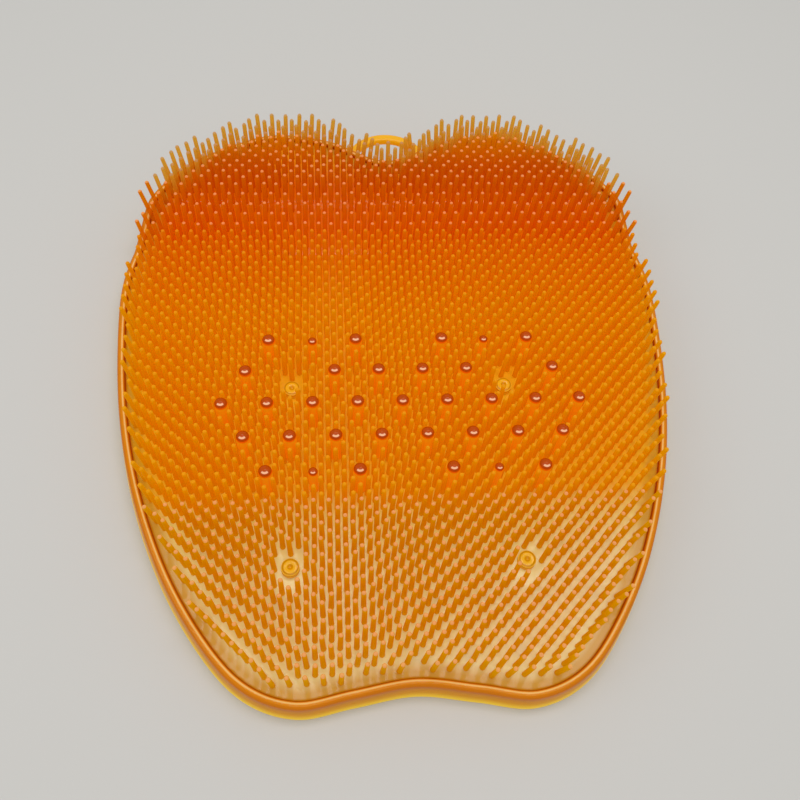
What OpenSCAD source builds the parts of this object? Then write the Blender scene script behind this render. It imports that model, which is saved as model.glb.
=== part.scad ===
// Shower foot scrubber: one soft moulding with a foot-shaped sole of bristles and massage nubs,
// a raised toe end, a beaded rim over a flared skirt, suction cups below and a hanging loop.
// Frame: origin under the middle of the mat at table level, +X right, +Y to the toe end, +Z up.

/* [Mat] */

// Overall width across the foot of the skirt (mm)
mat_w = 245; // [200:1:320]
// Overall length, heel end to toe end (mm)
mat_l = 267; // [220:1:340]
// Depth of the shallow dip between the two heel lobes (mm)
heel_dip = 6; // [2:0.5:10]
// Depth of the notch between the two toe lobes (mm)
toe_dip = 17.5; // [12:0.5:22]
// Distance of the heel lobes from the middle line (mm)
heel_lobe_x = 43; // [36:1:50]
// Distance of the toe lobes from the middle line (mm)
toe_lobe_x = 51; // [44:1:58]

/* [Floor and raised toe end] */

// Height of the flat floor's upper face above the table (mm)
floor_z = 9; // [7.5:0.5:14]
// Thickness of the floor (mm)
floor_t = 2.5; // [2:0.1:4]
// How much the floor bows up between its ends, so that water runs off (mm)
crown = 0.6; // [0.2:0.1:1.5]
// How much higher the toe end stands than the flat floor (mm)
toe_rise = 16; // [8:0.5:22]
// Where the ramp to the toe end begins, from the middle (mm)
toe_y = 73.2; // [66:0.6:84]
// Length of the ramp, front to back (mm)
toe_run = 15.6; // [12:0.6:24]

/* [Rim and skirt] */

// Width of the rounded bead round the rim (mm)
bead_w = 3.2; // [2.6:0.1:4.5]
// Height of the bead above the floor (mm)
bead_h = 2; // [1:0.1:3.5]
// Wall thickness of the skirt (mm)
skirt_wall = 2; // [1.6:0.1:3]
// How far the skirt flares outwards from rim to foot (mm)
skirt_flare = 1.5; // [0.5:0.1:3]
// Gap between the skirt's foot and the table (mm)
foot_gap = 0.6; // [0.3:0.1:1.5]

/* [Bristles] */

// Half the spacing of the staggered bristles in a row, and the spacing of the rows (mm)
lattice = 3; // [3:0.1:5]
// Lattice steps across from one column of bristles to the next, where 1 is the densest field
column_step = 3; // [1:1:4]
// Height of a bristle above the floor (mm)
bristle_h = 17; // [10:0.5:22]
// Diameter of a bristle (mm)
bristle_d = 1.7; // [1.2:0.1:2.2]
// Least distance from a bristle to the skirt's foot line on the flat floor (mm)
field_inset = 7.8; // [6:0.1:14]
// Least distance from a bristle to the skirt's foot line on the raised toe end (mm)
toe_inset = 6.5; // [6:0.1:14]

/* [Massage nubs] */

// Position of the middle row of nubs, in lattice steps from the middle of the mat
nub_row = -6; // [-10:2:2]
// Diameter of a nub (mm)
nub_d = 5.4; // [4:0.1:7]
// Height of a nub above the floor (mm)
nub_h = 19; // [12:0.5:24]
// Diameter of the four slim nubs (mm)
slim_nub_d = 3.8; // [3:0.1:5]
// Height of the slim nubs above the floor (mm)
slim_nub_h = 17; // [10:0.5:22]
// Diameter of the low round pads between the bristles (mm)
pad_d = 5.8; // [4:0.1:7]
// Height of the low round pads above the floor (mm)
pad_h = 1.5; // [0.5:0.1:3]
// Depth of the dimple in the top of a pad (mm)
dimple = 0.5; // [0.2:0.1:1]

/* [Suction cups] */

// Diameter of a suction cup at its lip (mm)
cup_d = 14.4; // [10:0.2:16]
// Height of a cup from lip to stem (mm)
cup_h = 4.4; // [3.6:0.1:5.5]
// Width and thickness of a cup's lip (mm)
lip = 0.8; // [0.6:0.1:1.2]
// Depth of the hollow under a cup (mm)
cup_hollow = 2.4; // [1.5:0.1:3]
// Diameter of the stem that joins a cup to the floor (mm)
stem_d = 5; // [4:0.1:7]
// Spacing of the cups in a row (mm)
cup_pitch_x = 19.5; // [17:0.5:28]
// Spacing of the rows of cups (mm)
cup_pitch_y = 20.5; // [17:0.5:28]
// Distance of the first row of cups from the dip in the heel end (mm)
cup_margin = 12.5; // [12:0.5:20]
// Least distance from a cup's centre to the skirt's foot line (mm)
cup_inset = 12.2; // [11:0.1:24]

/* [Hanging loop] */

// Outer radius of the hanging loop in the toe notch (mm)
loop_r = 20; // [16:0.5:24]
// Width of the loop's band (mm)
loop_band = 4; // [3:0.5:6]
// Thickness of the loop's band (mm)
loop_t = 3.5; // [2.5:0.1:5]
// How far the loop's upper face stands above the raised floor (mm)
loop_lift = 0.9; // [0.2:0.1:2]

/* [Hidden] */

hx = mat_w / 2;
hy = mat_l / 2;
toe_z = floor_z + toe_rise;
toe_end = toe_y + toe_run;
slope = atan(toe_rise / toe_run);
// Both corners of the ramp's underside lie this far behind those of its upper face
under_shift = floor_t * tan(slope / 2);
// Depth of a bristle's or nub's root in the floor, and by which other joined forms run into each other
root = 1.5;
overlap = 0.6;
loop_y = hy - loop_r;

// Right half of the foot line, from the heel dip round to the toe notch
half_line = [
    [0, heel_dip - hy],
    [heel_lobe_x * 0.51, heel_dip / 2 - hy],
    [heel_lobe_x, -hy],
    [hx * 0.506, hy * -0.948],
    [hx * 0.637, hy * -0.824],
    [hx * 0.776, hy * -0.614],
    [hx * 0.890, hy * -0.345],
    [hx * 0.963, hy * -0.045],
    [hx, hy * 0.315],
    [hx * 0.984, hy * 0.502],
    [hx * 0.939, hy * 0.614],
    [hx * 0.861, hy * 0.749],
    [hx * 0.747, hy * 0.861],
    [hx * 0.571, hy * 0.959],
    [toe_lobe_x, hy],
    [toe_lobe_x * 0.51, hy - toe_dip * 0.27],
    [0, hy - toe_dip]
];
nh = len(half_line);
knots = concat(half_line, [for (i = [nh - 2:-1:1]) [-half_line[i][0], half_line[i][1]]]);
nk = len(knots);
steps = 4;

// A point of the closed curve through the knots, with its unit outward normal
function knot(i) = knots[(i + nk) % nk];
function curve(a, b, c, d, t) =
    0.5 * (2 * b + (c - a) * t + (2 * a - 5 * b + 4 * c - d) * t * t + (3 * b - a - 3 * c + d) * t * t * t);
function rate(a, b, c, d, t) =
    0.5 * ((c - a) + 2 * (2 * a - 5 * b + 4 * c - d) * t + 3 * (3 * b - a - 3 * c + d) * t * t);
function normal_of(v) = [v[1], -v[0]] / norm(v);
smooth_line = [
    for (i = [0:nk - 1], k = [0:steps - 1])
        let (t = k / steps, a = knot(i - 1), b = knot(i), c = knot(i + 1), d = knot(i + 2))
            concat(curve(a, b, c, d, t), normal_of(rate(a, b, c, d, t)))
];
ns = len(smooth_line);

// Extra points where the line passes over the two ends of the ramp, unless one is there already
near = 0.4;
function crossing(p, q, y) =
    (p[1] - y) * (q[1] - y) < 0 && min(abs(p[1] - y), abs(q[1] - y)) > near
        ? [p + (q - p) * (y - p[1]) / (q[1] - p[1])]
        : [];
line = [
    for (i = [0:ns - 1])
        let (
            p = smooth_line[i],
            q = smooth_line[(i + 1) % ns],
            lower = crossing(p, q, toe_y),
            upper = crossing(p, q, toe_end)
        )
            each concat([p], q[1] > p[1] ? concat(lower, upper) : concat(upper, lower))
];
n = len(line);
foot_line = [for (p = line) [p[0], p[1]]];
function inset_line(d) = [for (p = line) [p[0] - d * p[2], p[1] - d * p[3]]];

// Height of the floor's upper face and of its underside at a distance y from the middle
function share(y) = max(0, min(1, (y - toe_y) / toe_run));
function bow(y, a, b) = crown * max(0, 1 - pow((2 * y - a - b) / (b - a), 2));
function floor_at(y) = floor_z + toe_rise * share(y) + bow(y, -hy, toe_y) + bow(y, toe_end, hy);
function under_at(y) = floor_at(y - (y > toe_y ? under_shift : 0)) - floor_t;

// The bowed floor is made of level strips whose edges run between two rows of bristles
strip_rows = 5;
strip_edges = [
    for (k = [-ceil(hy / lattice / strip_rows):ceil(hy / lattice / strip_rows)])
        let (y = (strip_rows * k + 0.5) * lattice)
            if ((y > -hy && y < toe_y - lattice) || (y > toe_end + lattice && y < hy)) y
];
heel_edges = concat([-mat_l], [for (y = strip_edges) if (y < toe_y) y], [toe_y]);
toe_edges = concat([toe_end], [for (y = strip_edges) if (y > toe_end) y], [mat_l]);
upper_side = [for (y = concat(heel_edges, toe_edges)) [y, floor_at(y)]];
lower_side = concat(
    [for (y = heel_edges) [y + (y == toe_y ? under_shift : 0), floor_at(y) - floor_t]],
    [for (y = toe_edges) [y + (y == toe_end ? under_shift : 0), floor_at(y) - floor_t]]
);

// Distance from a point to the foot line, and whether the point lies inside it
function to_segment(p, a, b) =
    let (u = b - a, t = max(0, min(1, ((p - a) * u) / (u * u)))) norm(p - a - t * u);
function to_line(p) = min([for (i = [0:n - 1]) to_segment(p, foot_line[i], foot_line[(i + 1) % n])]);
function turns(p, a, b) =
    (a[1] > p[1]) != (b[1] > p[1]) && p[0] < a[0] + (b[0] - a[0]) * (p[1] - a[1]) / (b[1] - a[1]) ? 1 : 0;
function total(v, i = 0, sum = 0) = i == len(v) ? sum : total(v, i + 1, sum + v[i]);
function inside(p) = total([for (i = [0:n - 1]) turns(p, foot_line[i], foot_line[(i + 1) % n])]) % 2 == 1;
function well_inside(p, d) = inside(p) && to_line(p) >= d;

// Lattice places: [steps across, steps along] from the middle row of nubs
full_nubs = concat(
    [for (i = [-24:6:24]) [i, 0]],
    [for (i = [-21:6:21]) [i, -5]],
    [for (i = [-21, -9, -3, 3, 9, 21]) [i, 5]],
    [for (i = [-18, -6, 6, 18], j = [-10, 10]) [i, j]]
);
slim_nubs = [for (i = [-12, 12], j = [-10, 10]) [i, j]];
pads = [for (i = [-15, 15], j = [-21, 5]) [i, j]];
taken = concat(full_nubs, slim_nubs, pads);
function place(g) = [g[0] * lattice, (g[1] + nub_row) * lattice];

// Bristles stand on the free places of the staggered lattice inside the rim, in every column_step-th column
reach_x = ceil(hx / lattice);
reach_y = ceil(hy / lattice) + abs(nub_row);
bristles = [
    for (i = [-reach_x:reach_x], j = [-reach_y:reach_y])
        if (i % column_step == 0 && (i + j) % 2 == 0 && len([for (t = taken) if (t == [i, j]) 1]) == 0)
            let (p = place([i, j]))
                if (well_inside(p, p[1] > toe_y ? toe_inset : field_inset)) p
];

// Cups hang on a wider staggered lattice that begins near the heel
cup_y0 = -hy + heel_dip + cup_margin;
cup_rows = floor((2 * hy - heel_dip - toe_dip - 2 * cup_margin) / cup_pitch_y);
cup_cols = ceil(hx / cup_pitch_x);
function stem_top(y) = floor_at(y - stem_d / 2) - overlap;
cups = [
    for (k = [0:cup_rows], i = [-cup_cols:cup_cols])
        let (p = [(i + (k % 2) / 2) * cup_pitch_x, cup_y0 + k * cup_pitch_y])
            if (well_inside(p, cup_inset) && stem_top(p[1]) > under_at(p[1] + stem_d / 2) + overlap / 3) p
];
cup_r = cup_d / 2;
hollow_r = cup_r - lip;
hollow_ball = (hollow_r * hollow_r + cup_hollow * cup_hollow) / (2 * cup_hollow);
// A stem is a little thinner than the neck of its cup
stem_share = 0.96;

// Section of the rim and skirt: [distance in from the foot line, height, 1 if it rides on the floor]
bead_r = bead_w / 2;
bead_x = skirt_flare + bead_r;
bead_c = bead_h - bead_r;
section = [
    [0, foot_gap, 0],
    [skirt_flare, bead_c, 1],
    [bead_x - bead_r * cos(50), bead_c + bead_r * sin(50), 1],
    [bead_x, bead_c + bead_r, 1],
    [bead_x + bead_r * cos(50), bead_c + bead_r * sin(50), 1],
    [bead_x + bead_r, bead_c, 1],
    [bead_x + bead_r, -floor_t * 0.5, 1],
    [skirt_flare + skirt_wall, -floor_t - 1.2, 1],
    [skirt_wall, foot_gap, 0]
];
m = len(section);
rim_points = [
    for (p = line, s = section)
        let (x = p[0] - s[0] * p[2], y = p[1] - s[0] * p[3])
            [x, y, s[1] + s[2] * floor_at(y)]
];
rim_faces = [
    for (i = [0:n - 1], k = [0:m - 1])
        let (a = i * m + k, b = i * m + (k + 1) % m, c = ((i + 1) % n) * m + k, d = ((i + 1) % n) * m + (k + 1) % m)
            each [[a, b, c], [b, d, c]]
];

// Beaded rim and flared skirt, swept as one ring round the foot line
module rim() {
    polyhedron(points = rim_points, faces = rim_faces, convexity = 6);
}

// Floor: nearly level under the foot, then a ramp and the raised toe end
module sole() {
    intersection() {
        linear_extrude(height = 2 * toe_z) polygon(inset_line(bead_x));
        rotate([90, 0, 90])
            translate([0, 0, -mat_w])
                linear_extrude(height = 2 * mat_w)
                    polygon(concat(lower_side, [for (i = [len(upper_side) - 1:-1:0]) upper_side[i]]));
    }
}

// One bristle, rooted in the floor
module bristle(p) {
    translate([p[0], p[1], floor_at(p[1]) - root])
        cylinder(h = bristle_h + root, d = bristle_d, $fn = 16);
}

// One round-topped massage nub
module nub(p, d, h) {
    r = d / 2;
    translate([p[0], p[1], floor_at(p[1]) - root])
        rotate_extrude($fn = 32)
            polygon(concat(
                [[0, 0], [r, 0]],
                [for (a = [0:22.5:67.5]) [r * cos(a), root + h - r + r * sin(a)]],
                [[0, root + h]]
            ));
}

// One low pad with a dimple in its top
module pad(p) {
    translate([p[0], p[1], floor_at(p[1])])
        difference() {
            translate([0, 0, -root]) cylinder(h = pad_h + root, d = pad_d, $fn = 32);
            translate([0, 0, pad_h - dimple]) cylinder(h = 2 * dimple, d = pad_d * 0.4, $fn = 24);
        }
}

// One suction cup on its stem
module cup(p) {
    translate([p[0], p[1], 0])
        difference() {
            union() {
                cylinder(h = lip, d = cup_d, $fn = 48);
                translate([0, 0, lip]) cylinder(h = cup_h - lip, d1 = cup_d, d2 = stem_d, $fn = 48);
                translate([0, 0, cup_h - overlap])
                    cylinder(h = stem_top(p[1]) - cup_h + overlap, d = stem_d * stem_share, $fn = 32);
            }
            translate([0, 0, cup_hollow - hollow_ball]) sphere(r = hollow_ball, $fn = 96);
        }
}

// Round band that closes the toe notch, cut off inside the rim
module loop() {
    low = toe_z + loop_lift - loop_t;
    difference() {
        translate([0, loop_y, low]) cylinder(h = loop_t, r = loop_r, $fn = 96);
        translate([0, loop_y, low - 1]) cylinder(h = loop_t + 2, r = loop_r - loop_band, $fn = 96);
        translate([0, 0, low - 1]) linear_extrude(height = loop_t + 2) polygon(inset_line(bead_x - overlap));
    }
}

module scrubber_mat() {
    color("orange")
        union() {
            sole();
            rim();
            for (p = bristles) bristle(p);
            for (g = full_nubs) nub(place(g), nub_d, nub_h);
            for (g = slim_nubs) nub(place(g), slim_nub_d, slim_nub_h);
            for (g = pads) pad(place(g));
            for (p = cups) cup(p);
            loop();
        }
}

scrubber_mat();
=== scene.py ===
import math

import bmesh
import bpy
from mathutils import Matrix, Vector


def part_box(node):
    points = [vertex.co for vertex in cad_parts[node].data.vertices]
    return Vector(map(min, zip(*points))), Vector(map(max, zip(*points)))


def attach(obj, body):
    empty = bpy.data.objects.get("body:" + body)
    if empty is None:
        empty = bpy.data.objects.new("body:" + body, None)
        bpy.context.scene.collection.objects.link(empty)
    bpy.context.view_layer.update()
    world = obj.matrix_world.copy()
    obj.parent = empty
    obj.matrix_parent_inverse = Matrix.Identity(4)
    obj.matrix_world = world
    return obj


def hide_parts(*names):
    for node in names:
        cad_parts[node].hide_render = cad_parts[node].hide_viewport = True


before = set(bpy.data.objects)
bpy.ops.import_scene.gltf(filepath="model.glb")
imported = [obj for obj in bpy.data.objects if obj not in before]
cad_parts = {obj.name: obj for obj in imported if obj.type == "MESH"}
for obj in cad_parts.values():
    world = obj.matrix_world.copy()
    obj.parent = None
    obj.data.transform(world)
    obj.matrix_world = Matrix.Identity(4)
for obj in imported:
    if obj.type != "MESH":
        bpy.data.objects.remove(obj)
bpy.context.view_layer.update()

# Shell: the floor, rounded bead and flared skirt of a mat that is moulded in one piece from soft clear
# orange plastic. The skirt stands on a foot-shaped line with two lobes at each end, and the floor is
# nearly level under the foot, then climbs a short ramp to the raised toe end.
mm = 0.001
mat_low, mat_high = (Vector(corner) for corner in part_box("scrubber_mat"))
half_w = (mat_high.x - mat_low.x) / 2
half_l = (mat_high.y - mat_low.y) / 2
heel_dip = 6 * mm
heel_lobe = 43 * mm
toe_dip = 17.5 * mm
toe_lobe = 51 * mm
foot_knots = [
    (0, heel_dip - half_l),
    (heel_lobe * 0.51, heel_dip / 2 - half_l),
    (heel_lobe, -half_l),
    (half_w * 0.506, half_l * -0.948),
    (half_w * 0.637, half_l * -0.824),
    (half_w * 0.776, half_l * -0.614),
    (half_w * 0.890, half_l * -0.345),
    (half_w * 0.963, half_l * -0.045),
    (half_w, half_l * 0.315),
    (half_w * 0.984, half_l * 0.502),
    (half_w * 0.939, half_l * 0.614),
    (half_w * 0.861, half_l * 0.749),
    (half_w * 0.747, half_l * 0.861),
    (half_w * 0.571, half_l * 0.959),
    (toe_lobe, half_l),
    (toe_lobe * 0.51, half_l - toe_dip * 0.27),
    (0, half_l - toe_dip),
]
foot_knots += [(-x, y) for x, y in reversed(foot_knots[1:-1])]
curve_steps = 10


def foot_curve(knots, steps):
    """(point, outward normal) pairs along the closed smooth curve through the knots, anticlockwise."""
    found = []
    for i in range(len(knots)):
        a, b, c, d = (Vector(knots[(i + k) % len(knots)]) for k in (-1, 0, 1, 2))
        for k in range(steps):
            t = k / steps
            square = 2 * a - 5 * b + 4 * c - d
            cube = 3 * b - a - 3 * c + d
            point = 0.5 * (2 * b + (c - a) * t + square * t * t + cube * t * t * t)
            along = (c - a) + 2 * square * t + 3 * cube * t * t
            found.append((point, Vector((along.y, -along.x)).normalized()))
    return found


foot_path = foot_curve(foot_knots, curve_steps)
floor_z = 9 * mm
floor_t = 2.5 * mm
crown = 0.6 * mm
toe_rise = 16 * mm
toe_y = 73.2 * mm
toe_run = 15.6 * mm
toe_end = toe_y + toe_run
ramp_round = 2.4 * mm
ramp_samples = (-3, -2, -1, 0, 1, 2, 3)


def bow(y, start, end):
    """The floor's shallow crown between two ends."""
    return crown * max(0.0, 1 - ((2 * y - start - end) / (end - start)) ** 2)


def ramp_share(y):
    """How far up the ramp a place is, with both corners rounded."""
    total = 0.0
    for k in ramp_samples:
        at = y + ramp_round * k / ramp_samples[-1]
        total += max(0.0, min(1.0, (at - toe_y) / toe_run))
    return total / len(ramp_samples)


def floor_at(y):
    """Height of the floor's upper side."""
    return floor_z + toe_rise * ramp_share(y) + bow(y, -half_l, toe_y) + bow(y, toe_end, half_l)


def from_line(p):
    """Distance from a point to the foot line, negative outside it."""
    nearest = 2 * half_l
    inside = False
    for i, (a, _) in enumerate(foot_path):
        b = foot_path[(i + 1) % len(foot_path)][0]
        u = b - a
        t = max(0.0, min(1.0, (p - a).dot(u) / u.dot(u)))
        nearest = min(nearest, (p - a - u * t).length)
        if (a.y > p.y) != (b.y > p.y) and p.x < a.x + (b.x - a.x) * (p.y - a.y) / (b.y - a.y):
            inside = not inside
    return nearest if inside else -nearest


bead_r = 1.6 * mm
bead_in = 3.1 * mm
bead_up = 0.4 * mm
bead_start = -8
bead_end = 188
bead_steps = 10
bead_fillet = 1 * mm
bead_drop = 0.9 * mm
wall_in = 1.5 * mm
wall_draft = 0.05 * mm
under_fillet_w = 0.9 * mm
under_fillet_h = 1.2 * mm
skirt_t = 2 * mm
skirt_edge = 0.35 * mm
skirt_round = 0.3 * mm
skirt_toe = 0.9 * mm
skirt_bow = 0.2 * mm
foot_gap = 0.6 * mm
margin = 7 * mm


def rim_section():
    """(distance in from the foot line, height, share of the floor's height that is added) points.

    They run from the floor over the bead, down the skirt's outer side, round its foot and up the
    inner side to the floor's underside."""
    bead_side = bead_in + bead_r
    found = [
        (bead_side + margin, 0, 1),
        (bead_side + bead_fillet, 0, 1),
        (bead_side + bead_fillet * 0.35, bead_fillet * 0.08, 1),
    ]
    for k in range(bead_steps + 1):
        turn = math.radians(bead_start + (bead_end - bead_start) * k / bead_steps)
        found.append((bead_in + bead_r * math.cos(turn), bead_up + bead_r * math.sin(turn), 1))
    found += [
        (wall_in - wall_draft, -bead_drop, 1),
        (wall_in * 0.78, skirt_bow, 0.66),
        (wall_in * 0.42, skirt_bow * 2, 0.36),
        (wall_in * 0.08, foot_gap + skirt_toe, 0),
        (0, foot_gap + skirt_edge, 0),
        (skirt_round, foot_gap, 0),
        (skirt_t - skirt_round, foot_gap, 0),
        (skirt_t, foot_gap + skirt_round, 0),
        (skirt_t + wall_in * 0.5, 0, 0.4),
        (wall_in + skirt_t, -floor_t - under_fillet_h, 1),
        (wall_in + skirt_t + under_fillet_w, -floor_t, 1),
    ]
    return found


crown_step = 18 * mm
ramp_cuts = [corner + ramp_round * k / 1.5 for corner in (toe_y, toe_end) for k in (-2, -1, 0, 1, 2)]
crown_cuts = [-half_l + crown_step * k for k in range(1, 11)]
same_place = 1e-6
crisp_angle = math.radians(32)


def shell_mesh():
    """The rim's section swept round the foot line, with the floor closed inside it and cut across, so
    that it can follow the ramp and the crown. The attribute rim is the share of the section's points."""
    section = rim_section()
    shell = bmesh.new()
    rim_place = shell.verts.layers.float.new("rim")
    rings = []
    for point, out in foot_path:
        ring = []
        for k, (inward, up, share) in enumerate(section):
            at = point - out * inward
            ring.append(shell.verts.new((at.x, at.y, up + share * floor_at(at.y))))
            ring[-1][rim_place] = k / (len(section) - 1)
        rings.append(ring)
    for i, ring in enumerate(rings):
        other = rings[(i + 1) % len(rings)]
        for k in range(len(section) - 1):
            shell.faces.new((ring[k], ring[k + 1], other[k + 1], other[k]))
    for k, under in ((0, False), (len(section) - 1, True)):
        edge = [ring[k] for ring in rings]
        strips = [shell.faces.new(list(reversed(edge)) if under else edge)]
        for y in ramp_cuts + crown_cuts:
            edges = {e for strip in strips for e in strip.edges}
            points = {v for strip in strips for v in strip.verts}
            cut = bmesh.ops.bisect_plane(
                shell, geom=strips + list(edges) + list(points),
                plane_co=(0, y, 0), plane_no=(0, 1, 0), dist=same_place,
            )
            strips = [g for g in cut["geom"] if isinstance(g, bmesh.types.BMFace)]
            for g in cut["geom_cut"]:
                if isinstance(g, bmesh.types.BMVert):
                    g.co.z = floor_at(g.co.y) - (floor_t if under else 0)
    bmesh.ops.triangulate(shell, faces=[f for f in shell.faces if len(f.verts) > 4])
    bmesh.ops.recalc_face_normals(shell, faces=shell.faces)
    mesh = bpy.data.meshes.new("shell")
    shell.to_mesh(mesh)
    shell.free()
    mesh.shade_smooth()
    mesh.set_sharp_from_angle(angle=crisp_angle)
    return mesh


def add_piece(name, mesh, *materials):
    """A new object at the origin, with its materials."""
    piece = bpy.data.objects.new(name, mesh)
    bpy.context.scene.collection.objects.link(piece)
    for material in materials:
        mesh.materials.append(material)
    return piece


def colour_ramp(nodes, stops):
    """A ramp through (place from 0 to 1, colour, cover) stops."""
    ramp = nodes.new("ShaderNodeValToRGB")
    found = ramp.color_ramp.elements
    while len(found) < len(stops):
        found.new(0.5)
    for stop, (at, colour, cover) in zip(found, stops):
        stop.position = at
        stop.color = (*colour, cover)
    return ramp


tint_power = 0.35
slant_blend = 0.4


def soft_plastic(
    name, zones, through, clear=0.0, clear_edge=0.0, roughness=0.3, shine=0.5, painted_glow=0.0,
    painted_glow_tint=(1.0, 0.4, 0.0), over=None,
):
    """Soft orange plastic.

    The zones give its colour from the heel end to the toe end. Through is the share of light that
    comes through it, and the glow is painted light: an emission of its colour times the glow tint, so
    that it shines though it is no lamp. Clear and clear_edge are how much of what lies behind shows
    through it, seen face on and at a slant. Over names an attribute and the stops of the colours that
    cover the zones along it."""
    material = bpy.data.materials.new(name)
    material.use_nodes = True
    nodes, links = material.node_tree.nodes, material.node_tree.links
    main = nodes["Principled BSDF"]
    out = nodes["Material Output"]
    place = nodes.new("ShaderNodeTexCoord")
    apart = nodes.new("ShaderNodeSeparateXYZ")
    along = nodes.new("ShaderNodeMapRange")
    along.inputs["From Min"].default_value = -half_l
    along.inputs["From Max"].default_value = half_l
    ramp = colour_ramp(nodes, [((y * mm + half_l) / (2 * half_l), colour, 1) for y, colour in zones])
    links.new(place.outputs["Object"], apart.inputs[0])
    links.new(apart.outputs["Y"], along.inputs["Value"])
    links.new(along.outputs["Result"], ramp.inputs["Fac"])
    colour_from = ramp.outputs["Color"]
    if over:
        by = nodes.new("ShaderNodeAttribute")
        by.attribute_name = over[0]
        cover = colour_ramp(nodes, over[1])
        covered = nodes.new("ShaderNodeMix")
        covered.data_type = "RGBA"
        links.new(by.outputs["Fac"], cover.inputs["Fac"])
        links.new(cover.outputs["Alpha"], covered.inputs["Factor"])
        links.new(colour_from, covered.inputs["A"])
        links.new(cover.outputs["Color"], covered.inputs["B"])
        colour_from = covered.outputs["Result"]
    links.new(colour_from, main.inputs["Base Color"])
    main.inputs["Roughness"].default_value = roughness
    main.inputs["Specular IOR Level"].default_value = shine
    main.inputs["IOR"].default_value = 1.5
    # Painted glow: the emission colour is the plastic's colour times the glow tint, so that it shines
    # though it is no lamp.
    inner = nodes.new("ShaderNodeMix")
    inner.data_type = "RGBA"
    inner.blend_type = "MULTIPLY"
    inner.inputs["Factor"].default_value = 1
    inner.inputs["B"].default_value = (*painted_glow_tint, 1)
    links.new(colour_from, inner.inputs["A"])
    links.new(inner.outputs["Result"], main.inputs["Emission Color"])
    main.inputs["Emission Strength"].default_value = painted_glow
    lit_through = nodes.new("ShaderNodeBsdfTranslucent")
    links.new(colour_from, lit_through.inputs["Color"])
    body = nodes.new("ShaderNodeMixShader")
    body.inputs["Fac"].default_value = through
    links.new(main.outputs["BSDF"], body.inputs[1])
    links.new(lit_through.outputs["BSDF"], body.inputs[2])
    surface = body
    if clear:
        see = nodes.new("ShaderNodeBsdfTransparent")
        see.inputs["Color"].default_value = (*(c ** tint_power for c in zones[0][1]), 1)
        facing = nodes.new("ShaderNodeLayerWeight")
        facing.inputs["Blend"].default_value = slant_blend
        share = nodes.new("ShaderNodeMapRange")
        share.inputs["To Min"].default_value = clear
        share.inputs["To Max"].default_value = clear_edge
        links.new(facing.outputs["Facing"], share.inputs["Value"])
        surface = nodes.new("ShaderNodeMixShader")
        links.new(share.outputs["Result"], surface.inputs["Fac"])
        links.new(body.outputs[0], surface.inputs[1])
        links.new(see.outputs[0], surface.inputs[2])
    links.new(surface.outputs[0], out.inputs["Surface"])
    return material


# Colours by the share of the way along the rim's section, from the floor over the bead to the inside:
# a darker gold band on the floor beside the bead, painted shade in a dark line where the bead's inner
# side meets the floor, a painted highlight along the bead's crest and another along the skirt's foot.
rim_colours_and_painted_light = [
    (0.0, (0.7, 0.42, 0.06), 0),
    (0.03, (0.62, 0.36, 0.02), 0.85),
    (0.083, (0.55, 0.25, 0.0), 1),
    (0.125, (0.38, 0.05, 0.0), 1),
    (0.185, (0.4, 0.06, 0.0), 1),
    (0.25, (0.75, 0.3, 0.0), 1),
    (0.29, (1.0, 0.8, 0.34), 1),
    (0.33, (0.75, 0.3, 0.0), 1),
    (0.4, (0.65, 0.22, 0.0), 1),
    (0.56, (0.6, 0.22, 0.0), 1),
    (0.65, (0.75, 0.4, 0.0), 1),
    (0.7, (1.0, 0.78, 0.06), 1),
    (0.76, (1.0, 0.9, 0.2), 1),
    (1.0, (0.95, 0.6, 0.05), 1),
]
shell_zones = [
    (-85, (0.88, 0.92, 0.56)),
    (-60, (0.88, 0.86, 0.32)),
    (-48, (0.88, 0.62, 0.04)),
    (40, (0.9, 0.5, 0.0)),
    (78, (0.85, 0.28, 0.0)),
    (100, (0.8, 0.22, 0.0)),
    (122, (0.92, 0.58, 0.03)),
]
# The shell carries a painted glow, and painted shade and painted highlights along its rim.
shell_plastic = soft_plastic(
    "Clear orange shell", shell_zones, 0.4, roughness=0.1, shine=0.25,
    painted_glow=0.22, painted_glow_tint=(1.0, 0.85, 0.4), over=("rim", rim_colours_and_painted_light),
)
shell = add_piece("shell", shell_mesh(), shell_plastic)
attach(shell, "root")
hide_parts("scrubber_mat")

# Bristles: about 2,650 fine tapered rods with rounded tips, moulded in one with the floor, on a
# staggered lattice that leaves room for the nubs and pads. Each leans and varies a little, and the
# outermost rows splay out over the rim.
lattice = 3 * mm
nub_row = -6
field_inset = 7.8 * mm
toe_inset = 5.4 * mm
edge_rows = 11 * mm
heel_y = -58 * mm
splay_rows = 15 * mm
splay = math.radians(12)
toe_splay = math.radians(19)
bristle_h = 17 * mm
bristle_root_r = 1.08 * mm
bristle_tip_r = 0.93 * mm
bristle_sides = 8
bristle_vary = 0.02
bristle_collar = 0.8 * mm
root_depth = 1.2 * mm
slope_step = 1 * mm
full_nubs = [(i, 0) for i in range(-24, 25, 6)]
full_nubs += [(i, -5) for i in range(-21, 22, 6)]
full_nubs += [(i, 5) for i in (-21, -9, -3, 3, 9, 21)]
full_nubs += [(i, j) for i in (-18, -6, 6, 18) for j in (-10, 10)]
slim_nubs = [(i, j) for i in (-12, 12) for j in (-10, 10)]
pads = [(i, j) for i in (-15, 15) for j in (-21, 5)]
taken = set(full_nubs + slim_nubs + pads)
taken |= {(i + a, j + b) for i, j in pads for a, b in ((-1, -1), (1, -1), (-1, 1), (1, 1), (0, -2))}


def on_floor(i, j):
    """The place on the floor of a lattice point."""
    x, y = i * lattice, (j + nub_row) * lattice
    return Vector((x, y, floor_at(y)))


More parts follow.
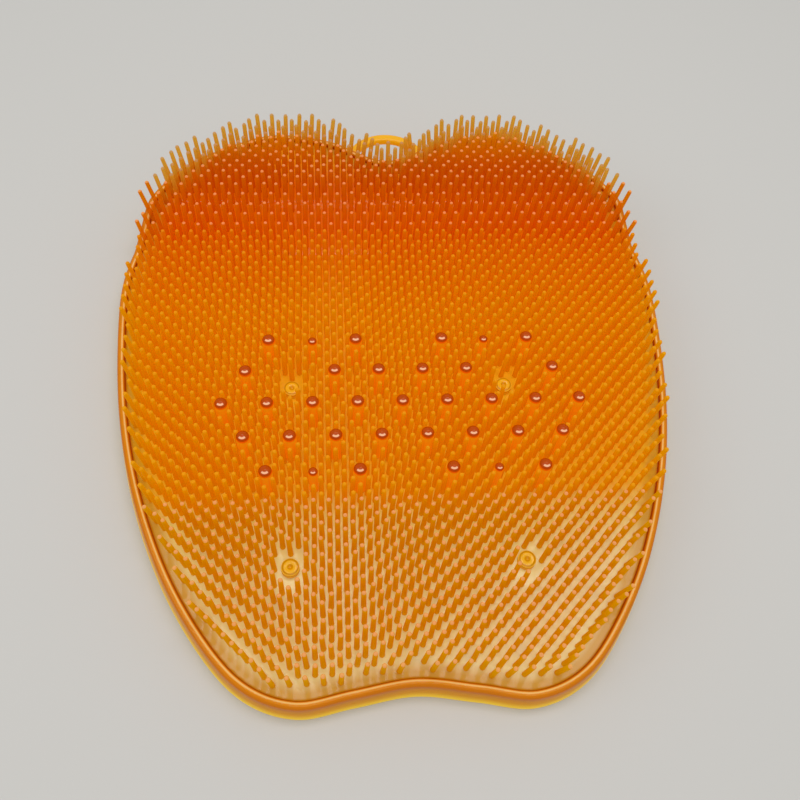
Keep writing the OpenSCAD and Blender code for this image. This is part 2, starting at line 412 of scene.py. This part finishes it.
def bristle_places():
    """Places near the heel end, on the level floor, on the raised toe end, and in its outer rows."""
    across = math.ceil(half_w / lattice)
    along = math.ceil(half_l / lattice) + abs(nub_row)
    heel, level, raised, edge = [], [], [], []
    for i in range(-across, across + 1):
        for j in range(-along, along + 1):
            if (i + j) % 2 or (i, j) in taken:
                continue
            p = on_floor(i, j)
            depth = from_line(p.xy)
            if p.y <= toe_y and depth >= field_inset:
                (heel if p.y < heel_y else level).append(p)
            elif p.y > toe_y and depth >= toe_inset:
                (raised if depth > toe_inset + edge_rows or p.y < toe_end else edge).append(p)
    return heel, level, raised, edge


def turned(name, profile, sides):
    """A mesh turned from (radius, height) points, closed by a point at the top. Its attribute tip is 1
    at the top and falls to 0 at one radius below it."""
    form = bmesh.new()
    rings = []
    for radius, height in profile[:-1]:
        ring = []
        for k in range(sides):
            turn = 2 * math.pi * k / sides
            ring.append(form.verts.new((radius * math.cos(turn), radius * math.sin(turn), height)))
        rings.append(ring)
    top = form.verts.new((0, 0, profile[-1][1]))
    for lower, upper in zip(rings, rings[1:]):
        for k in range(sides):
            n = (k + 1) % sides
            form.faces.new((lower[k], lower[n], upper[n], upper[k]))
    for k in range(sides):
        form.faces.new((rings[-1][k], rings[-1][(k + 1) % sides], top))
    form.faces.new(list(reversed(rings[0])))
    mesh = bpy.data.meshes.new(name)
    form.to_mesh(mesh)
    form.free()
    mesh.shade_smooth()
    tip = mesh.attributes.new("tip", "FLOAT", "POINT")
    for k, v in enumerate(mesh.vertices):
        tip.data[k].value = max(0.0, 1 - (profile[-1][1] - v.co.z) / profile[1][0])
    return mesh


def outward_lean(p):
    """Rotation that leans a rod out over the rim, in the outermost rows only."""
    depth = from_line(p.xy)
    if depth > splay_rows:
        return (0, 0, 0)
    beside, ahead = Vector((slope_step, 0)), Vector((0, slope_step))
    across = from_line(p.xy + beside) - from_line(p.xy - beside)
    along = from_line(p.xy + ahead) - from_line(p.xy - ahead)
    inward = Vector((across, along)).normalized()
    lean = (toe_splay if p.y > toe_y else splay) * (1 - depth / splay_rows)
    return (inward.y * lean, -inward.x * lean, 0)


def planted(name, places, form, material, lean=0.0, vary=0.0, seed=1, stretch=None, leans=None):
    """Geometry Nodes set a form on every place, and the result becomes one plain mesh.

    Lean is the most that a form leans at random, and vary the most that it is shortened. Stretch and
    leans give each place its own height and lean."""
    field = bpy.data.meshes.new(name + " places")
    field.from_pydata([tuple(p) for p in places], [], [])
    size = field.attributes.new("size", "FLOAT_VECTOR", "POINT")
    for k in range(len(places)):
        size.data[k].vector = (1, 1, stretch[k] if stretch else 1)
    own = field.attributes.new("own lean", "FLOAT_VECTOR", "POINT")
    for k in range(len(places)):
        own.data[k].vector = leans[k] if leans else (0, 0, 0)
    holder = add_piece(name + " holder", field)
    pattern = add_piece(name + " form", form)
    tree = bpy.data.node_groups.new(name + " planting", "GeometryNodeTree")
    tree.interface.new_socket("Geometry", in_out="INPUT", socket_type="NodeSocketGeometry")
    tree.interface.new_socket("Form", in_out="INPUT", socket_type="NodeSocketObject")
    tree.interface.new_socket("Lean", in_out="INPUT", socket_type="NodeSocketFloat")
    tree.interface.new_socket("Vary", in_out="INPUT", socket_type="NodeSocketFloat")
    tree.interface.new_socket("Geometry", in_out="OUTPUT", socket_type="NodeSocketGeometry")
    nodes, links = tree.nodes, tree.links
    start = nodes.new("NodeGroupInput")
    end = nodes.new("NodeGroupOutput")
    points = nodes.new("GeometryNodeMeshToPoints")
    info = nodes.new("GeometryNodeObjectInfo")
    plant = nodes.new("GeometryNodeInstanceOnPoints")
    minus_lean = nodes.new("ShaderNodeMath")
    minus_lean.operation = "MULTIPLY"
    minus_lean.inputs[1].default_value = -1
    low_lean = nodes.new("ShaderNodeCombineXYZ")
    high_lean = nodes.new("ShaderNodeCombineXYZ")
    tilt = nodes.new("FunctionNodeRandomValue")
    tilt.data_type = "FLOAT_VECTOR"
    tilt.inputs["Seed"].default_value = seed
    shorter = nodes.new("ShaderNodeMath")
    shorter.operation = "SUBTRACT"
    shorter.inputs[0].default_value = 1
    height = nodes.new("FunctionNodeRandomValue")
    height.data_type = "FLOAT"
    height.inputs["Seed"].default_value = seed + 7
    grow = nodes.new("ShaderNodeCombineXYZ")
    grow.inputs["X"].default_value = 1
    grow.inputs["Y"].default_value = 1
    named = nodes.new("GeometryNodeInputNamedAttribute")
    named.data_type = "FLOAT_VECTOR"
    named.inputs["Name"].default_value = "size"
    leaning = nodes.new("GeometryNodeInputNamedAttribute")
    leaning.data_type = "FLOAT_VECTOR"
    leaning.inputs["Name"].default_value = "own lean"
    both = nodes.new("ShaderNodeVectorMath")
    both.operation = "ADD"
    total = nodes.new("ShaderNodeVectorMath")
    total.operation = "MULTIPLY"
    realize = nodes.new("GeometryNodeRealizeInstances")
    paint = nodes.new("GeometryNodeSetMaterial")
    paint.inputs["Material"].default_value = material
    links.new(start.outputs["Geometry"], points.inputs["Mesh"])
    links.new(start.outputs["Form"], info.inputs["Object"])
    links.new(points.outputs["Points"], plant.inputs["Points"])
    links.new(info.outputs["Geometry"], plant.inputs["Instance"])
    links.new(start.outputs["Lean"], minus_lean.inputs[0])
    for axis in ("X", "Y"):
        links.new(minus_lean.outputs[0], low_lean.inputs[axis])
        links.new(start.outputs["Lean"], high_lean.inputs[axis])
    low_lean.inputs["Z"].default_value = 0
    high_lean.inputs["Z"].default_value = 0
    links.new(low_lean.outputs[0], tilt.inputs["Min"])
    links.new(high_lean.outputs[0], tilt.inputs["Max"])
    links.new(tilt.outputs["Value"], both.inputs[0])
    links.new(leaning.outputs["Attribute"], both.inputs[1])
    links.new(both.outputs[0], plant.inputs["Rotation"])
    links.new(start.outputs["Vary"], shorter.inputs[1])
    links.new(shorter.outputs[0], height.inputs["Min"])
    height.inputs["Max"].default_value = 1
    float_out = [o for o in height.outputs if o.enabled][0]
    links.new(float_out, grow.inputs["Z"])
    links.new(grow.outputs[0], total.inputs[0])
    links.new(named.outputs["Attribute"], total.inputs[1])
    links.new(total.outputs[0], plant.inputs["Scale"])
    links.new(plant.outputs["Instances"], realize.inputs["Geometry"])
    links.new(realize.outputs["Geometry"], paint.inputs["Geometry"])
    links.new(paint.outputs["Geometry"], end.inputs["Geometry"])
    planting = holder.modifiers.new("planting", "NODES")
    planting.node_group = tree
    sockets = {s.name: s.identifier for s in tree.interface.items_tree if s.in_out == "INPUT"}
    planting[sockets["Form"]] = pattern
    planting[sockets["Lean"]] = lean
    planting[sockets["Vary"]] = vary
    bpy.context.view_layer.update()
    ready = holder.evaluated_get(bpy.context.evaluated_depsgraph_get())
    mesh = bpy.data.meshes.new_from_object(ready)
    mesh.name = name
    holder.modifiers.remove(planting)
    bpy.data.objects.remove(holder)
    bpy.data.objects.remove(pattern)
    piece = add_piece(name, mesh)
    if not mesh.materials:
        mesh.materials.append(material)
    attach(piece, "root")
    return piece


bristle_profile = [
    (bristle_root_r * 1.15, -root_depth),
    (bristle_root_r, bristle_collar),
    (bristle_tip_r, bristle_h - bristle_tip_r * 0.9),
    (bristle_tip_r * 0.66, bristle_h - bristle_tip_r * 0.25),
    (0, bristle_h),
]
bristle_zones = [
    (-60, (0.81, 0.49, 0.0)),
    (30, (0.81, 0.47, 0.0)),
    (62, (0.8, 0.37, 0.0)),
    (80, (0.78, 0.28, 0.0)),
]
toe_zones = [
    (80, (0.74, 0.28, 0.0)),
    (100, (0.65, 0.215, 0.0)),
    (120, (0.76, 0.46, 0.0)),
]
tip_fade = 0.12


def painted_tip_highlight(colour, start, cover=1.0):
    """Stops that paint a pale highlight on the rounded tips of the rods."""
    return "tip", [(0.0, colour, 0), (start - tip_fade, colour, 0), (start, colour, cover)]


# The heel, level and toe bristles carry a painted glow and a painted highlight on the rods' tips.
heel_plastic = soft_plastic(
    "Clear heel bristles", [(-130, (0.84, 0.55, 0.0)), (-60, (0.83, 0.52, 0.0))], 0.5,
    clear=0.35, clear_edge=0.15, roughness=0.4, shine=0.04, painted_glow=0.21, painted_glow_tint=(1.0, 0.5, 0.0),
    over=painted_tip_highlight((1.0, 0.62, 0.32), 0.5),
)
level_plastic = soft_plastic(
    "Orange bristles", bristle_zones, 0.5,
    clear=0.35, clear_edge=0.15, roughness=0.4, shine=0.04, painted_glow=0.35, painted_glow_tint=(1.0, 0.56, 0.0),
    over=painted_tip_highlight((0.9, 0.56, 0.04), 0.5, 0.5),
)
toe_plastic = soft_plastic(
    "Orange toe bristles", toe_zones, 0.5,
    clear=0.45, clear_edge=0.3, roughness=0.4, shine=0.04, painted_glow=0.48, painted_glow_tint=(1.0, 0.46, 0.0),
    over=painted_tip_highlight((1.0, 0.62, 0.3), 0.6),
)
fringe_lengths = [
    (0.0, (0.8, 0.26, 0.0), 1),
    (0.1, (0.88, 0.42, 0.01), 0.8),
    (0.2, (0.84, 0.5, 0.03), 0),
    (0.28, (0.75, 0.52, 0.3), 0),
    (0.4, (0.75, 0.52, 0.3), 1),
]
# The edge bristles carry a painted glow.
fringe_plastic = soft_plastic(
    "Clear edge bristles", [(0, (0.84, 0.5, 0.03)), (120, (0.84, 0.52, 0.07))], 0.5,
    clear=0.5, clear_edge=0.1, roughness=0.2, shine=0.15, painted_glow=0.12, painted_glow_tint=(1.0, 0.65, 0.2),
    over=("tip", fringe_lengths),
)
heel_places, level_places, raised_places, edge_places = bristle_places()
for name, places, plastic, lean, seed in (
    ("heel_bristles", heel_places, heel_plastic, 1.3, 2),
    ("level_bristles", level_places, level_plastic, 1.3, 3),
    ("toe_bristles", raised_places, toe_plastic, 2.0, 5),
    ("edge_bristles", edge_places, fringe_plastic, 2.5, 9),
):
    rod = turned(name + " rod", bristle_profile, bristle_sides)
    splayed = [outward_lean(p) for p in places]
    planted(name, places, rod, plastic, math.radians(lean), bristle_vary, seed, leans=splayed)

# Massage nubs: 35 stout round-topped pegs that stand a little above the bristles in five rows,
# four of them slimmer and lower. They are the same moulding, thick enough to look deep amber.
nub_r = 2.7 * mm
nub_h = 19 * mm
slim_nub_r = 1.9 * mm
slim_nub_h = 17 * mm
nub_collar = 1 * mm
nub_sides = 24
dome_step = 10
# The painted highlight lies between these shares of the dome's height, on the side toward the heel end.
painted_gleam_low = 0.74
painted_gleam_high = 0.93
painted_gleam_side = 0.62
dome_share = 0.7


def nub_profile(radius, height):
    """A straight peg with a foot that spreads a little and a round dome."""
    found = [(radius * 1.12, -root_depth), (radius, nub_collar), (radius, height - radius)]
    for degrees in range(dome_step, 90, dome_step):
        turn = math.radians(degrees)
        found.append((radius * math.cos(turn), height - radius + radius * math.sin(turn)))
    return found + [(0, height)]


def nub_mesh(name, radius, height, sides):
    """A nub whose dome has a painted highlight, a pale gleam, across the side toward the heel end."""
    mesh = turned(name, nub_profile(radius, height), sides)
    tip = mesh.attributes["tip"]
    for k, v in enumerate(mesh.vertices):
        up = (v.co.z - height + radius) / radius
        painted_gleam = painted_gleam_low < up < painted_gleam_high and v.co.y < -painted_gleam_side * v.co.xy.length
        tip.data[k].value = 1 if painted_gleam else tip.data[k].value * dome_share
    return mesh


# Colours up the dome: painted glow in a bright red-orange band low on the dome, a deep red-brown top,
# and the pale painted highlight.
nub_domes_painted_light = [
    (0.0, (1.0, 0.35, 0.0), 0),
    (0.05, (1.0, 0.3, 0.0), 1),
    (0.2, (0.9, 0.17, 0.0), 1),
    (0.34, (0.48, 0.08, 0.0), 1),
    (0.72, (0.5, 0.09, 0.0), 1),
    (1.0, (1.0, 0.76, 0.5), 1),
]
# The nubs carry a painted glow.
nub_plastic = soft_plastic(
    "Amber nubs", [(-50, (0.96, 0.57, 0.01)), (50, (0.96, 0.52, 0.0))], 0.4,
    roughness=0.15, shine=0.2, painted_glow=0.18, painted_glow_tint=(1.0, 0.6, 0.3), over=("tip", nub_domes_painted_light),
)
full_form = nub_mesh("nub", nub_r, nub_h, nub_sides)
slim_form = nub_mesh("slim nub", slim_nub_r, slim_nub_h, nub_sides)
planted("massage_nubs", [on_floor(*g) for g in full_nubs], full_form, nub_plastic)
planted("slim_nubs", [on_floor(*g) for g in slim_nubs], slim_form, nub_plastic)

# Pads: four low clear bosses with a dimple, where the moulding was filled. Their flat tops are bright
# yellow, with a darker ring near the edge and another round the dimple.
pad_r = 3.5 * mm
pad_h = 3 * mm
pad_edge = 0.3 * mm
pad_sides = 24
dimple = 0.5 * mm
pad_profile = [
    (pad_r, -root_depth),
    (pad_r, pad_h - pad_edge),
    (pad_r - pad_edge, pad_h),
    (pad_r * 0.3, pad_h),
    (pad_r * 0.22, pad_h - dimple),
    (0, pad_h - dimple),
]
pad_form = turned("pad", pad_profile, pad_sides)
pad_tip = pad_form.attributes["tip"]
for k, v in enumerate(pad_form.vertices):
    pad_tip.data[k].value = min(1.0, v.co.xy.length / pad_r) if v.co.z > 0 else 0
pad_rings = [
    (0.0, (0.9, 0.55, 0.02), 1),
    (0.12, (0.68, 0.34, 0.0), 1),
    (0.3, (0.75, 0.4, 0.0), 1),
    (0.38, (0.92, 0.62, 0.03), 1),
    (0.7, (0.88, 0.58, 0.01), 1),
    (0.8, (0.6, 0.3, 0.0), 1),
    (0.88, (0.65, 0.34, 0.0), 1),
    (0.97, (1.0, 0.8, 0.08), 1),
]
# The pads carry a painted glow.
pad_plastic = soft_plastic(
    "Clear yellow pads", [(-80, (0.9, 0.62, 0.02)), (0, (0.9, 0.57, 0.01))], 0.3,
    roughness=0.1, shine=0.3, painted_glow=0.12, painted_glow_tint=(1.0, 0.75, 0.2), over=("tip", pad_rings),
)
planted("low_pads", [on_floor(*g) for g in pads], pad_form, pad_plastic)

# Suction cups: hollow cups on short stems in a wider staggered lattice under the whole floor, the
# stems longer under the toe end. They are moulded in one with the floor and grip the shower tray.
cup_r = 7.2 * mm
cup_h = 4.4 * mm
cup_hollow = 2.4 * mm
cup_lip_w = 0.8 * mm
cup_lip_h = 0.7 * mm
cup_bend = 1.7 * mm
cup_neck = 0.2 * mm
cup_cap = 0.3 * mm
cup_sides = 24
stem_r = 2.4 * mm
stem_sides = 16
stem_root = 0.4 * mm
stem_cover = 0.6 * mm
cup_pitch_x = 19.5 * mm
cup_pitch_y = 20.5 * mm
cup_inset = 12.2 * mm
cup_margin = 12.5 * mm
cup_first = -half_l + heel_dip + cup_margin


def stem_top(y):
    """Height of a stem's top, inside the floor at its low side."""
    return floor_at(y - stem_r) - stem_cover


def cup_places():
    """Lattice points inside the rim, without those whose stems would miss the ramp."""
    rows = math.floor((2 * half_l - heel_dip - toe_dip - 2 * cup_margin) / cup_pitch_y)
    columns = math.ceil(half_w / cup_pitch_x)
    found = []
    for k in range(rows + 1):
        for i in range(-columns, columns + 1):
            p = Vector(((i + (k % 2) / 2) * cup_pitch_x, cup_first + k * cup_pitch_y, 0))
            hung = stem_top(p.y) > floor_at(p.y + stem_r) - floor_t - root_depth
            if from_line(p.xy) >= cup_inset and (hung or p.y < toe_y):
                found.append(p)
    return found


cup_profile = [
    (cup_r, 0),
    (cup_r, cup_lip_h),
    (cup_r * 0.82, cup_bend),
    (stem_r * 1.25, cup_h - stem_root),
    (stem_r, cup_h + cup_neck),
    (0, cup_h + cup_cap),
]
hollow_r = cup_r - cup_lip_w
hollow_rings = (1, 0.75, 0.45, 0.2)


def cup_mesh():
    """The cup with its hollow underside in place of a flat one."""
    mesh = turned("cup", cup_profile, cup_sides)
    form = bmesh.new()
    form.from_mesh(mesh)
    bottom = [f for f in form.faces if len(f.verts) > 4]
    rim = list(bottom[0].verts)
    bmesh.ops.delete(form, geom=bottom, context="FACES_ONLY")
    rings = [rim]
    for share in hollow_rings:
        ring = []
        for v in rim:
            out = Vector((v.co.x, v.co.y, 0)).normalized() * hollow_r * share
            ring.append(form.verts.new((out.x, out.y, cup_hollow * (1 - share * share))))
        rings.append(ring)
    for outer, inner in zip(rings, rings[1:]):
        for k in range(len(rim)):
            n = (k + 1) % len(rim)
            form.faces.new((outer[k], outer[n], inner[n], inner[k]))
    form.faces.new(rings[-1])
    bmesh.ops.recalc_face_normals(form, faces=form.faces)
    form.to_mesh(mesh)
    form.free()
    mesh.shade_smooth()
    return mesh


cup_plastic = soft_plastic("Orange cups", [(-50, (0.88, 0.4, 0.05)), (50, (0.88, 0.4, 0.05))], 0.5)
stem_plastic = soft_plastic("Amber stems", [(-50, (0.75, 0.22, 0.0)), (50, (0.75, 0.22, 0.0))], 0.5)
cups = cup_places()
planted("suction_cups", cups, cup_mesh(), cup_plastic)
stem_low = cup_h - stem_root
stem_places = [Vector((p.x, p.y, stem_low)) for p in cups]
stem_lengths = [stem_top(p.y) - stem_low for p in cups]
stem_form = turned("stem", [(stem_r, 0), (stem_r, 0.98), (0, 1.0)], stem_sides)
planted("cup_stems", stem_places, stem_form, stem_plastic, stretch=stem_lengths)

# Hanging loop: a round flat band with soft edges, moulded in one with the rim. It closes the notch
# between the toe lobes and stands a little above the toe end's floor.
loop_r = 20 * mm
loop_band = 4 * mm
loop_t = 3.5 * mm
loop_soft = 0.9 * mm
loop_lift = 0.9 * mm
loop_start = 16
loop_end = 164
loop_step = 4
loop_y = half_l - loop_r
loop_z = floor_z + toe_rise - loop_t + loop_lift


def loop_mesh():
    """The band's section swept along its arc, with a face at each end."""
    form = bmesh.new()
    soft = loop_soft
    inner, outer, low, top = loop_r - loop_band, loop_r, loop_z, loop_z + loop_t
    section = [
        (inner, low + soft), (inner + soft * 0.3, low + soft * 0.3), (inner + soft, low),
        (outer - soft, low), (outer - soft * 0.3, low + soft * 0.3), (outer, low + soft),
        (outer, top - soft), (outer - soft * 0.3, top - soft * 0.3), (outer - soft, top),
        (inner + soft, top), (inner + soft * 0.3, top - soft * 0.3), (inner, top - soft),
    ]
    rings = []
    for degrees in range(loop_start, loop_end + 1, loop_step):
        turn = math.radians(degrees)
        across, along = math.cos(turn), math.sin(turn)
        rings.append([form.verts.new((r * across, loop_y + r * along, z)) for r, z in section])
    for one, other in zip(rings, rings[1:]):
        for k in range(len(section)):
            n = (k + 1) % len(section)
            form.faces.new((one[k], one[n], other[n], other[k]))
    form.faces.new(rings[0])
    form.faces.new(list(reversed(rings[-1])))
    bmesh.ops.recalc_face_normals(form, faces=form.faces)
    mesh = bpy.data.meshes.new("loop")
    form.to_mesh(mesh)
    form.free()
    mesh.shade_smooth()
    return mesh


# The loop carries a painted glow.
loop_plastic = soft_plastic(
    "Yellow loop", [(100, (0.97, 0.64, 0.02)), (130, (0.97, 0.64, 0.02))], 0.5, roughness=0.2,
    painted_glow=0.12, painted_glow_tint=(1.0, 0.7, 0.2),
)
loop = add_piece("hanging_loop", loop_mesh(), loop_plastic)
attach(loop, "root")

# Sheet below: a plain pale grey floor that the mat stands on. It is part of the picture, not of the
# mat, so it is not attached to the mat's body.
sheet_half = 3.0
sheet_colour = (0.565, 0.555, 0.527, 1)
sheet_corners = [(x * sheet_half, y * sheet_half, 0) for x, y in ((-1, -1), (1, -1), (1, 1), (-1, 1))]
ground_mesh = bpy.data.meshes.new("ground")
ground_mesh.from_pydata(sheet_corners, [], [(0, 1, 2, 3)])
ground_paint = bpy.data.materials.new("Pale sheet")
ground_paint.use_nodes = True
sheet_finish = ground_paint.node_tree.nodes["Principled BSDF"]
sheet_finish.inputs["Base Color"].default_value = sheet_colour
sheet_finish.inputs["Roughness"].default_value = 0.7
ground = add_piece("ground", ground_mesh, ground_paint)

# Light: a pale room all round, a broad lamp overhead, a strip above the toe end and a weak one from
# the left, as soft as the light in the photograph.
world = bpy.data.worlds.new("soft room")
bpy.context.scene.world = world
world.use_nodes = True
room = world.node_tree.nodes["Background"]
room.inputs["Color"].default_value = (1, 1, 1, 1)
room.inputs["Strength"].default_value = 0.56


def lamp(name, at, target, size, power):
    """A rectangular area lamp that points at its target."""
    data = bpy.data.lights.new(name, "AREA")
    data.shape = "RECTANGLE"
    data.size, data.size_y = size
    data.energy = power
    light = bpy.data.objects.new(name, data)
    bpy.context.scene.collection.objects.link(light)
    light.location = at
    light.rotation_euler = (Vector(target) - Vector(at)).to_track_quat("-Z", "Y").to_euler()


lamp("overhead", at=(0.1, -0.3, 1.0), target=(0, 0, 0), size=(0.7, 0.4), power=2.0)
lamp("strip", at=(0.08, 0.2, 1.0), target=(0.08, 0.2, 0), size=(0.8, 0.26), power=3.2)
lamp("side", at=(-0.8, -0.1, 0.7), target=(0, 0, 0), size=(0.5, 0.5), power=1.2)

# Camera: where the photograph was taken from, above the heel end and looking down toward the toe
# end. Its place and turn were found from the lattice of the nubs and bristles.
camera_at = Vector((-27.8, -188.6, 320)) * mm
camera_right = Vector((0.9967, -0.0559, 0.0581))
camera_down = Vector((-0.0191, -0.8636, -0.5039))
camera_forward = Vector((0.0784, 0.5011, -0.8618))
camera_data = bpy.data.cameras.new("camera")
camera_data.lens = 38.25
camera_data.sensor_width = 36
camera_data.clip_start = 0.01
camera = bpy.data.objects.new("camera", camera_data)
bpy.context.scene.collection.objects.link(camera)
turn = Matrix((camera_right, -camera_down, -camera_forward)).transposed().to_4x4()
camera.matrix_world = Matrix.Translation(camera_at) @ turn
bpy.context.scene.camera = camera

bpy.context.scene.view_settings.view_transform = "Standard"
